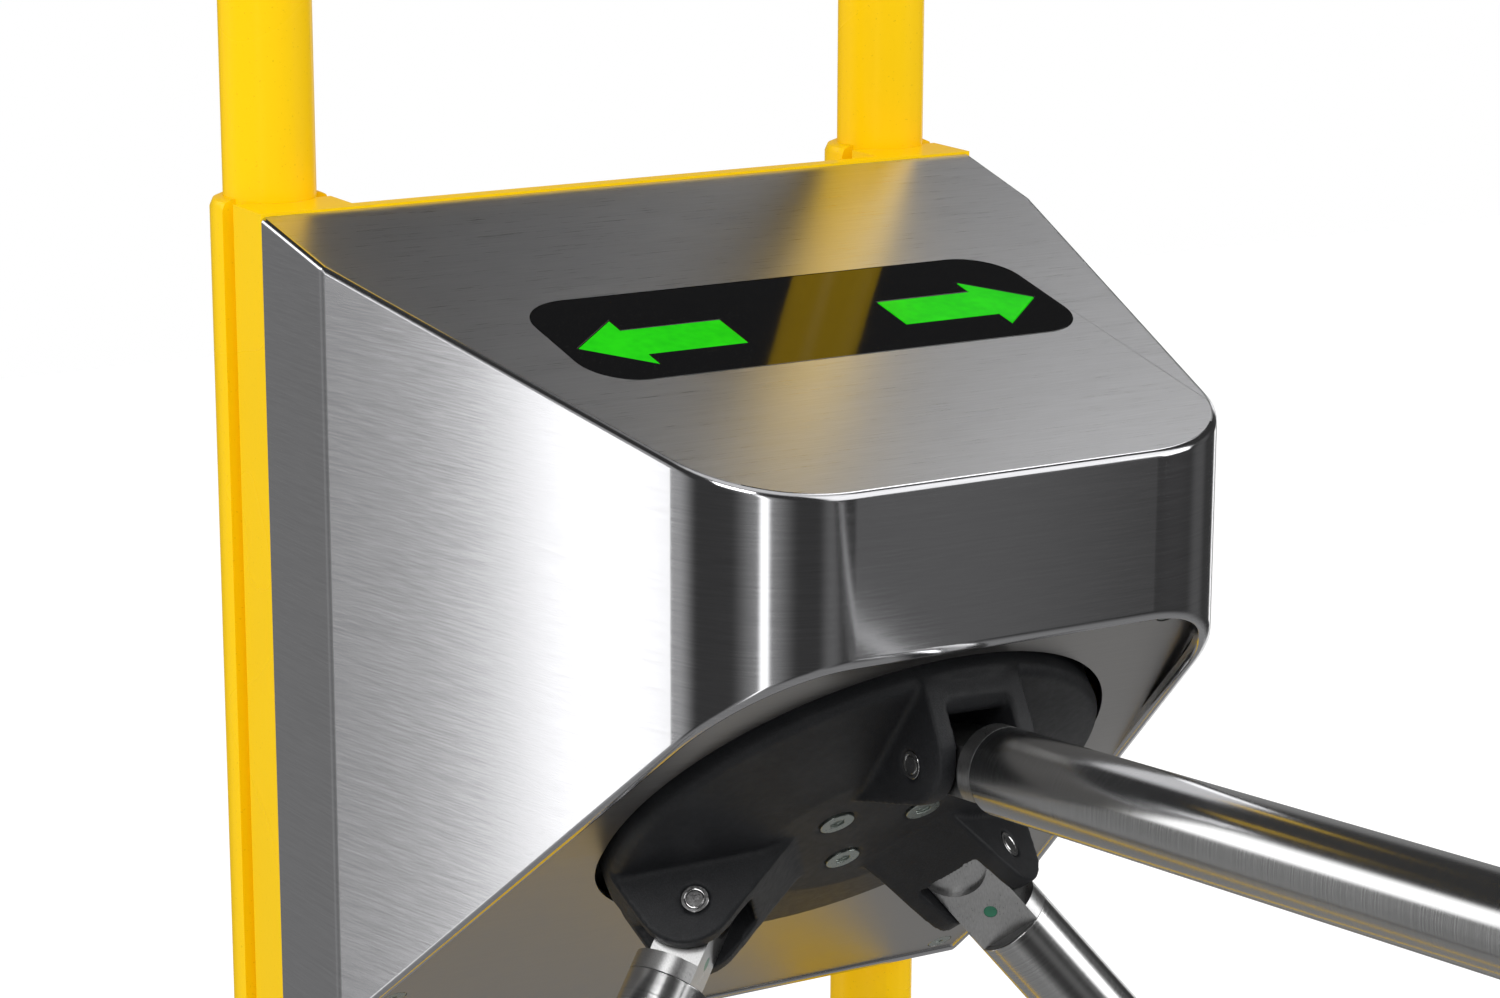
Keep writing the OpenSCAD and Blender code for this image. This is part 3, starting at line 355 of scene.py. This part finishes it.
def makeGlowing(name, spec):
    shade = newShade(name, Emission_Strength=spec["strength"], Specular_IOR_Level=spec["specular"])
    cells = shade.noise(spec["cells"], detail=1.0)
    mixed = layered(cells, shade.noise(spec["glow"], detail=1.0), spec["share"])
    shade.feed(Base_Color=shade.blend(mixed, spec["dark"], spec["light"]),
               Emission_Color=shade.blend(mixed, spec["dim"], spec["bright"]),
               Roughness=shade.pick(cells, spec["smooth"], spec["rough"]))
    return shade.owner


# a finish of one tone, fine over broad
plain = {"broader": 0.08, "share": 0.5, "depth": 0.0004}


def makePlain(name, low, high, smooth, rough, metal=0.0, size=300, bump=0.08):
    shade = newShade(name, Metallic=metal)
    fine = shade.noise(size, detail=3.0)
    mixed = layered(fine, shade.noise(size * plain["broader"], detail=2.0), plain["share"])
    shade.feed(Base_Color=shade.blend(mixed, low, high), Roughness=shade.pick(mixed, smooth, rough),
               Normal=shade.bump(fine, bump, plain["depth"]))
    return shade.owner


# circuit board: green, with tracks
printed = {"dark": (0.006, 0.10, 0.035, 1), "light": (0.012, 0.20, 0.07, 1), "smooth": 0.28, "rough": 0.4,
           "bump": 0.2, "depth": 0.0002, "scale": 90.0, "gap": 0.04, "offset": 0.5, "levels": (0.0, 0.2, 1.0)}


def makeBoard(name, spec):
    shade = newShade(name)
    first, second, gap = (grey(level) for level in spec["levels"])
    tracks = shade.node("ShaderNodeTexBrick", {"offset": spec["offset"]},
                        {"Vector": shade.place(), "Scale": spec["scale"], "Mortar Size": spec["gap"],
                         "Color1": first, "Color2": second, "Mortar": gap})
    shade.feed(Base_Color=shade.blend(tracks, spec["dark"], spec["light"]),
               Roughness=shade.pick(tracks, spec["smooth"], spec["rough"]),
               Normal=shade.bump(tracks, spec["bump"], spec["depth"]))
    return shade.owner


steelHead = makeBrushed("brushed sheet of the head", brushed)
steelTopShaded = makeBrushed("brushed top of the head", brushedTopShaded)
steelUnderShaded = makeBrushed("brushed underside", brushedUnderShaded)
armSteel = [makeSatin(f"satin arm {k + 1}", satin, k) for k in range(len(arms))]
rootSteel = makeMilled("milled arm root", milled, tone=0.56)
machined = makeMilled("machined steel", milled, tone=0.45)
yellow = makePowderCoat("yellow powder coat", powderCoat)
cast = makeCast("black cast hub", sandy)
window = makeWindow("black window", glassy)
greenLight = makeGlowing("green light", glowing)
greenDot = makePlain("green marker", (0.012, 0.11, 0.06, 1), (0.02, 0.16, 0.09, 1), smooth=0.25, rough=0.35)
zinc = makePlain("passivated zinc", (0.36, 0.40, 0.37, 1), (0.46, 0.50, 0.47, 1), smooth=0.24, rough=0.36,
                 metal=1.0, size=700)
turnedSteel = makePlain("turned pin steel", grey(0.52), grey(0.60), smooth=0.10, rough=0.2,
                        metal=1.0, size=900, bump=0.03)
sheetZinc = makePlain("zinc sheet", (0.42, 0.44, 0.46, 1), (0.52, 0.54, 0.55, 1), smooth=0.3, rough=0.45,
                      metal=1.0, size=120)
brassy = makePlain("machined brass", (0.50, 0.33, 0.10, 1), (0.62, 0.43, 0.15, 1), smooth=0.22, rough=0.34,
                   metal=1.0, size=600)
blackPlastic = makePlain("black plastic", grey(0.012), grey(0.024), smooth=0.4, rough=0.55,
                         size=900, bump=0.15)
rubber = makePlain("black rubber", grey(0.010), grey(0.018), smooth=0.6, rough=0.75, size=600, bump=0.2)
board = makeBoard("circuit board", printed)
print("materials made")

# modelling helpers: weld distances, and the angle under which faces of a node count as one flat face
mending = {"weld": 0.00001, "nodeWeld": 0.000005, "flatAngle": 0.4}


def letGo():
    if bpy.context.object and bpy.context.object.mode == "EDIT":
        ops.object.mode_set(mode="OBJECT")
    ops.object.select_all(action="DESELECT")


def take(piece):
    letGo()
    bpy.context.view_layer.objects.active = piece
    piece.select_set(True)


def edit(piece):
    take(piece)
    ops.object.mode_set(mode="EDIT")
    ops.mesh.select_all(action="DESELECT")


# selects faces or edges by a test, in edit mode
def pick(piece, faces=None, edges=None):
    ops.mesh.select_mode(type="FACE" if faces else "EDGE")
    ops.mesh.select_all(action="DESELECT")
    mesh = bmesh.from_edit_mesh(piece.data)
    parts, test = (mesh.faces, faces) if faces else (mesh.edges, edges)
    for part in parts:
        if test(part):
            part.select_set(True)
    mesh.select_flush_mode()
    bmesh.update_edit_mesh(piece.data)


def modify(piece, kind, **settings):
    take(piece)
    made = piece.modifiers.new(kind.lower(), kind)
    for key, value in settings.items():
        setattr(made, key, value)
    ops.object.modifier_apply(modifier=made.name)


# breaks the edges sharper than an angle
def breakEdges(piece, width, segments, angle):
    modify(piece, "BEVEL", width=width, segments=segments, limit_method="ANGLE", angle_limit=rad(angle))


# the place goes into the mesh
def settle(piece, place):
    take(piece)
    piece.matrix_world = place @ piece.matrix_world
    ops.object.transform_apply(location=True, rotation=True, scale=True)


# level keeps big flat faces flat beside their rounded edges
def smooth(piece, angle=32, level=False):
    take(piece)
    ops.object.shade_smooth_by_angle(angle=rad(angle))
    if level:
        modify(piece, "WEIGHTED_NORMAL", mode="FACE_AREA", weight=100, keep_sharp=True)


def dress(piece, name, body, material, stands):
    piece.name = name
    piece.data.name = name
    piece.data.materials.clear()
    piece.data.materials.append(material)
    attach(piece, body)
    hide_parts(*stands)


def outward(piece):
    edit(piece)
    ops.mesh.select_all(action="SELECT")
    ops.mesh.remove_doubles(threshold=mending["weld"])
    ops.mesh.normals_make_consistent(inside=False)
    letGo()


# a copy of a node, merged and with its edges broken as the real piece's are
def soften(node, name, material, width=0.0, segments=2, angle=30):
    source = nodes[node]
    take(source)
    ops.object.duplicate()
    piece = bpy.context.object
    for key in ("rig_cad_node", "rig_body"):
        if key in piece:
            del piece[key]
    piece.parent = None
    edit(piece)
    ops.mesh.select_all(action="SELECT")
    ops.mesh.remove_doubles(threshold=mending["nodeWeld"])
    ops.mesh.dissolve_limited(angle_limit=rad(mending["flatAngle"]))
    letGo()
    if width:
        breakEdges(piece, width, segments, angle)
    smooth(piece, level=bool(width))
    dress(piece, name, body_of(source)[0], material, [node])
    return piece


# softens a list of nodes: node, name, material, slot, width of the broken edge, its segments
def softenAll(rows):
    for node, name, material, slot, width, segments in rows:
        soften(node, name, material, width, segments)


def cutWith(piece, tool):
    modify(piece, "BOOLEAN", operation="DIFFERENCE", object=tool, solver="EXACT")
    bpy.data.objects.remove(tool)


# the head's shell: a block drawn from the head's outline and cut by its top and under planes, then
# opened for the window and at the back, hemmed below, and given the sheet's thickness
shell = {"sheet": 0.0015, "spare": 0.01, "edge": 0.0026, "edgeSegments": 5, "edgeAngle": 8,
         "smoothAngle": 25, "hem": 0.0044, "hemDepth": 0.004, "noseSteps": 20, "topFacing": 0.94,
         "underFacing": -0.5, "backFacing": 0.9}
pocket = {"width": 0.203, "length": 0.0704, "at": 0.1324, "radius": 0.020, "deep": 0.004, "segments": 12,
          "slack": 0.0003}


# the sheet's outline seen from above, which turns through opening at each rounded corner of the nose
def roundedOutline():
    half, bend, nose = head["width"] / 2, head["bendWidth"] / 2, head["noseWidth"] / 2
    rear, side = Vector((-half, 0)), Vector((-bend, -head["bendDepth"]))
    front = Vector((-nose, -head["depth"]))
    lean = math.atan2(bend - nose, head["depth"] - head["bendDepth"])
    opening = math.pi / 2 - lean
    along = (side - front).normalized()
    reach = head["noseRadius"] * math.tan(opening / 2)
    start = front + along * reach
    centre = start + Vector((along.y, -along.x)) * head["noseRadius"]
    begin = math.atan2(start.y - centre.y, start.x - centre.x)
    left = [tuple(rear), tuple(side)]
    for i in range(shell["noseSteps"] + 1):
        a = begin + opening * i / shell["noseSteps"]
        left.append((centre.x + head["noseRadius"] * math.cos(a),
                     centre.y + head["noseRadius"] * math.sin(a)))
    return left + [(-x, y) for x, y in reversed(left)]


def cutPlane(at, facing):
    ops.mesh.select_all(action="SELECT")
    ops.mesh.bisect(plane_co=at, plane_no=facing, use_fill=True, clear_outer=True, clear_inner=False,
                    threshold=mending["weld"])


def buildBlock():
    outline = roundedOutline()
    ops.mesh.primitive_circle_add(vertices=len(outline), fill_type="NGON")
    piece = bpy.context.object
    for vertex, (x, y) in zip(piece.data.vertices, outline):
        vertex.co = (x, y, shell["spare"])
    edit(piece)
    ops.mesh.select_all(action="SELECT")
    ops.mesh.extrude_region_move(
        TRANSFORM_OT_translate={"value": (0, 0, -headHeight - 2 * shell["spare"])})
    slope, under = rad(head["topSlope"]), rad(head["underSlope"])
    cutPlane((0, 0, 0), (0, -math.sin(slope), math.cos(slope)))
    cutPlane((0, -head["depth"], frontLow), (0, -math.sin(under), -math.cos(under)))
    ops.mesh.select_all(action="SELECT")
    ops.mesh.normals_make_consistent(inside=False)
    letGo()
    return piece


# a plate with rounded corners that reaches as far above the top as below it
def pocketTool():
    ops.mesh.primitive_plane_add(size=1)
    piece = bpy.context.object
    piece.scale = (pocket["width"], pocket["length"], 1)
    ops.object.transform_apply(scale=True)
    edit(piece)
    ops.mesh.select_all(action="SELECT")
    ops.mesh.bevel(offset=pocket["radius"], segments=pocket["segments"], affect="VERTICES", profile=0.5)
    ops.mesh.select_all(action="SELECT")
    ops.transform.translate(value=(0, 0, -pocket["deep"]))
    ops.mesh.extrude_region_move(TRANSFORM_OT_translate={"value": (0, 0, 2 * pocket["deep"])})
    letGo()
    outward(piece)
    return piece


# the window's opening is cut as a pocket, then the pocket's own faces are taken out
def openForWindow(piece):
    place = turned(head["topSlope"], "X") @ moved(0, -pocket["at"], 0)
    tool = pocketTool()
    settle(tool, place)
    cutWith(piece, tool)
    flat = place.inverted()
    reach = [size + pocket["slack"] for size in (pocket["width"] / 2, pocket["length"] / 2, pocket["deep"])]

    def inPocket(face):
        corners = [flat @ vertex.co for vertex in face.verts]
        below = (flat @ face.calc_center_median()).z < -pocket["slack"]
        return below and all(abs(c[i]) < reach[i] for c in corners for i in range(3))

    edit(piece)
    pick(piece, faces=inPocket)
    ops.mesh.delete(type="FACE")


# the hem folded round the underside, and the open back
def foldAndOpen(piece):
    under = rad(head["underSlope"])
    pick(piece, faces=lambda f: f.normal.z < shell["underFacing"])
    ops.mesh.inset(thickness=shell["hem"], depth=0)
    ops.mesh.extrude_region_move(TRANSFORM_OT_translate={
        "value": Vector((0, math.sin(under), math.cos(under))) * shell["hemDepth"]})
    ops.mesh.delete(type="FACE")
    pick(piece, faces=lambda f: f.normal.y > shell["backFacing"])
    ops.mesh.delete(type="FACE")
    letGo()


headShell = buildBlock()
openForWindow(headShell)
foldAndOpen(headShell)
settle(headShell, headPlace)
breakEdges(headShell, shell["edge"], shell["edgeSegments"], shell["edgeAngle"])
modify(headShell, "SOLIDIFY", thickness=shell["sheet"], offset=-1, use_even_offset=False)
smooth(headShell, shell["smoothAngle"], level=True)
dress(headShell, "headShell", "stand", steelHead, ["housing_shell"])
# the faces that look up take the top's copy, whose slightly darker grain is painted shade
headShell.data.materials.append(steelTopShaded)
for face in headShell.data.polygons:
    if face.normal.z > shell["topFacing"]:
        face.material_index = 1
print("head shell made")

softenAll([
    ("display_window", "displayWindow", window, "black_window", 0.0004, 2),
    ("arrow_left", "arrowLeft", greenLight, "green_light", 0.00025, 1),
    ("arrow_right", "arrowRight", greenLight, "green_light", 0.00025, 1),
    ("underside_plate", "undersidePlate", steelUnderShaded, "stainless", 0.0005, 2),
])
print("window and underside made")

# the cast hub: its copy is remeshed and eased so that every rib runs into the next with a soft fillet
casting = {"voxel": 0.0009, "factor": 0.5, "ease": 7, "smoothAngle": 60}
hubCasting = soften("hub_casting", "hubCasting", cast)
modify(hubCasting, "REMESH", mode="VOXEL", voxel_size=casting["voxel"])
modify(hubCasting, "SMOOTH", factor=casting["factor"], iterations=casting["ease"])
smooth(hubCasting, casting["smoothAngle"])
print("hub made")

# arms: tube, root, marker and cap
tube = {"radius": 0.0155, "wall": 0.002, "seam": 0.0275, "end": 0.496, "sides": 128,
        "edge": 0.0005, "edgeSegments": 3, "edgeAngle": 40, "endFacing": 0.9}


def buildTube(k):
    length = tube["end"] - tube["seam"]
    ops.mesh.primitive_cylinder_add(vertices=tube["sides"], radius=tube["radius"], depth=length,
                                    location=(0, 0, tube["seam"] + length / 2), end_fill_type="NGON")
    piece = bpy.context.object
    ops.object.transform_apply(location=True)
    edit(piece)
    pick(piece, faces=lambda f: abs(f.normal.z) > tube["endFacing"])
    ops.mesh.inset(thickness=tube["wall"], depth=0)
    ops.mesh.delete(type="FACE")
    pick(piece, edges=lambda e: len(e.link_faces) == 1)
    ops.mesh.bridge_edge_loops()
    letGo()
    outward(piece)
    breakEdges(piece, tube["edge"], tube["edgeSegments"], tube["edgeAngle"])
    settle(piece, armPlace(k))
    smooth(piece, level=True)
    dress(piece, f"armTube{k + 1}", f"arm_{k + 1}", armSteel[k], [f"arm_tube_{k + 1}"])


for k in range(len(arms)):
    buildTube(k)
    softenAll([
        (f"arm_root_{k + 1}", f"armRoot{k + 1}", rootSteel, "arm_steel", 0.0005, 2),
        (f"arm_marker_{k + 1}", f"armMarker{k + 1}", greenDot, "green_marker", 0.0002, 2),
        (f"arm_cap_{k + 1}", f"armCap{k + 1}", blackPlastic, "black_plastic", 0.0008, 3),
    ])
print("arms made")

# everything else that shows, with its own edge
softenAll([
    ("frame_plate", "framePlate", yellow, "yellow_paint", 0.0016, 3),
    ("clamp_left", "clampLeft", yellow, "yellow_paint", 0.0014, 3),
    ("clamp_right", "clampRight", yellow, "yellow_paint", 0.0014, 3),
    ("rear_cover", "rearCover", yellow, "yellow_paint", 0.0005, 3),
    ("base_plate", "basePlate", yellow, "yellow_paint", 0.0012, 3),
    ("post_left", "postLeft", yellow, "yellow_paint", 0.0004, 3),
    ("post_right", "postRight", yellow, "yellow_paint", 0.0004, 3),
    ("post_caps", "postCaps", blackPlastic, "black_plastic", 0.001, 3),
    ("clamp_bolts", "clampBolts", zinc, "zinc", 0.0004, 3),
    ("cover_screws", "coverScrews", zinc, "zinc", 0.0003, 3),
    ("underside_screws", "undersideScrews", zinc, "zinc", 0.0005, 3),
    ("hub_screws", "hubScrews", zinc, "zinc", 0.0003, 3),
    ("cable_grommet", "cableGrommet", rubber, "black_rubber", 0.0005, 3),
])

# the pins' round ends are turned with a shallow ring groove
pin = {"sides": 8, "rim": 0.0011, "groove": 0.0005, "deep": 0.0003,
       "edge": 0.0002, "edgeSegments": 2, "edgeAngle": 50, "smoothAngle": 25}
pins = soften("pivot_pins", "pivotPins", turnedSteel)
edit(pins)
pick(pins, faces=lambda f: len(f.verts) > pin["sides"])
ops.mesh.inset(thickness=pin["rim"], depth=0, use_individual=True)
ops.mesh.inset(thickness=pin["groove"], depth=-pin["deep"], use_individual=True)
ops.mesh.inset(thickness=pin["groove"], depth=pin["deep"], use_individual=True)
letGo()
breakEdges(pins, pin["edge"], pin["edgeSegments"], pin["edgeAngle"])
smooth(pins, pin["smoothAngle"], level=True)
print("frame, posts and fasteners made")

# the mechanism inside keeps its solids, with a finish each
inside = {
    sheetZinc: ["display_bracket", "bracket_left", "bracket_right", "chassis_plate", "upper_plate",
                "chassis_spacers"],
    machined: ["lower_bearing", "upper_bearing", "pawl_pins", "main_shaft", "lock_wheel", "index_cam",
               "shaft_collar", "pawl_left", "pawl_right", "plunger_left", "plunger_right", "detent_lever"],
    brassy: ["board_spacers", "drive_gear", "damper_pinion"],
    blackPlastic: ["solenoid_left", "solenoid_right", "damper_body", "encoder_disc"],
    board: ["led_boards", "controller_board", "encoder_board"],
}
for material, names in inside.items():
    for name in names:
        nodes[name].data.materials.clear()
        nodes[name].data.materials.append(material)
print("mechanism finished")

# the floor: lit a little for the camera, more so far from the object, so that only its shadow shows
ground = {"size": 9.0, "roughness": 0.9, "dark": 0.86, "light": 0.90, "grain": 3,
          "nearLift": 0.10, "farLift": 0.35, "away": (0.5, 1.5)}
letGo()
ops.mesh.primitive_plane_add(size=ground["size"], location=(0, 0, 0))
floor = bpy.context.object
floor.name = "studioFloor"
floorShade = newShade("studio floor", Roughness=ground["roughness"], Emission_Strength=1.0)
away = floorShade.node("ShaderNodeVectorMath", {"operation": "LENGTH"}, {0: floorShade.place()}, out="Value")
lift = floorShade.blend(away.step(*ground["away"]), grey(ground["nearLift"]), grey(ground["farLift"]))
patches = floorShade.noise(ground["grain"], detail=3.0)
floorShade.feed(Base_Color=floorShade.blend(patches, grey(ground["dark"]), grey(ground["light"])),
                Emission_Color=floorShade.blend(floorShade.ray("Is Camera Ray"), grey(0.0), lift))
floor.data.materials.append(floorShade.owner)
floor.visible_glossy = False

# the room: white where the camera looks, and for the metal a dim studio with softboxes. Azimuths go
# from +Y towards +X and elevations up from level, both in degrees. A softbox is even over half on each
# side of its azimuth and fades out over soft. The strips run up to aboveFrom, the ceiling begins at
# ceilingFrom, and the boxes with a rise and a fall lie between those two elevations.
room = {"plain": 0.80, "white": 1.0, "dark": 0.05, "below": 0.28, "belowTo": (-50, -28),
        "above": 0.04, "aboveFrom": (12, 24), "ceiling": 0.85, "ceilingFrom": (56, 72)}
softboxes = [
    {"azimuth": -56.3, "half": 0.8, "soft": 0.9, "level": 2.2},
    {"azimuth": -63.0, "half": 2.0, "soft": 20.0, "level": 0.42},
    {"azimuth": -45.0, "half": 5.0, "soft": 10.0, "level": 0.13},
    {"azimuth": -30.0, "half": 5.0, "soft": 9.0, "level": 0.18},
    {"azimuth": -138.6, "half": 0.9, "soft": 4.6, "level": 2.0},
    {"azimuth": -138.6, "half": 1.0, "soft": 26.0, "level": 0.30},
    {"azimuth": 169.0, "half": 1.0, "soft": 11.0, "level": 0.11},
    {"azimuth": 147.0, "half": 1.0, "soft": 4.0, "level": 0.10},
    {"azimuth": 92.0, "half": 3.0, "soft": 12.0, "level": 0.06},
    {"azimuth": 53.5, "half": 1.5, "soft": 4.0, "level": 1.3},
    {"azimuth": 30.0, "half": 10.0, "soft": 22.0, "level": 0.20},
]
armBox = {"azimuth": -40.0, "half": 5.0, "soft": 6.0, "level": 2.2, "rise": (2, 8), "fall": (22, 30)}
frontBox = {"azimuth": 138.0, "half": 26.0, "soft": 10.0, "level": 1.5, "rise": (10, 18), "fall": (58, 70)}
roofBox = {"azimuth": 48.0, "half": 3.0, "soft": 6.0, "level": 3.1, "rise": (34, 40), "fall": (56, 70),
           "lean": 0.5, "leanAt": 40.0}

world = bpy.data.worlds.new("studio")
bpy.context.scene.world = world
sky = Shade(world, "Background", Color=grey(1.0))
direction = sky.node("ShaderNodeTexCoord", out="Generated")
dx, dy, dz = (sky.node("ShaderNodeSeparateXYZ", None, {"Vector": direction}, out=axis) for axis in "XYZ")
azimuth = dx.math("ARCTAN2", dy) * (180 / math.pi)
elevation = dz.math("ARCSINE") * (180 / math.pi)


def strip(angle, spec):
    off = (angle - spec["azimuth"]).math("ABSOLUTE")
    return (1 - off.step(spec["half"], spec["half"] + spec["soft"])) * spec["level"]


def box(angle, spec):
    return strip(angle, spec) * elevation.step(*spec["rise"]) * (1 - elevation.step(*spec["fall"]))


seen = sum((strip(azimuth, spec) for spec in softboxes), room["dark"])
seen = sky.pick(elevation.step(*room["aboveFrom"]), seen, room["above"])
seen = sky.pick(elevation.step(*room["ceilingFrom"]), seen, room["ceiling"])
seen = sky.pick(elevation.step(*room["belowTo"]), room["below"], seen)
seen = seen + box(azimuth, armBox) + box(azimuth, frontBox)
seen = seen + box(azimuth - (elevation - roofBox["leanAt"]) * roofBox["lean"], roofBox)
lit = sky.pick(sky.ray("Is Glossy Ray"), room["plain"], seen)
clear = sky.ray("Is Camera Ray").math("MAXIMUM", sky.ray("Is Transmission Ray"))
sky.feed(Strength=sky.pick(clear, lit, room["white"]))

lamps = [
    {"name": "keyLamp", "at": (-1.6, -1.2, 2.4), "to": (0, -0.1, 0.9), "size": (1.0, 1.0), "watts": 22},
    {"name": "fillLamp", "at": (2.0, -1.6, 1.6), "to": (0, -0.1, 0.9), "size": (1.2, 1.2), "watts": 10},
]
for spec in lamps:
    lamp = bpy.data.objects.new(spec["name"], bpy.data.lights.new(spec["name"], "AREA"))
    bpy.context.scene.collection.objects.link(lamp)
    lamp.data.shape = "RECTANGLE"
    lamp.data.size, lamp.data.size_y = spec["size"]
    lamp.data.energy = spec["watts"]
    aim = (Vector(spec["to"]) - Vector(spec["at"])).to_track_quat("-Z", "Y")
    lamp.matrix_world = Matrix.LocRotScale(Vector(spec["at"]), aim, None)
print("studio made")
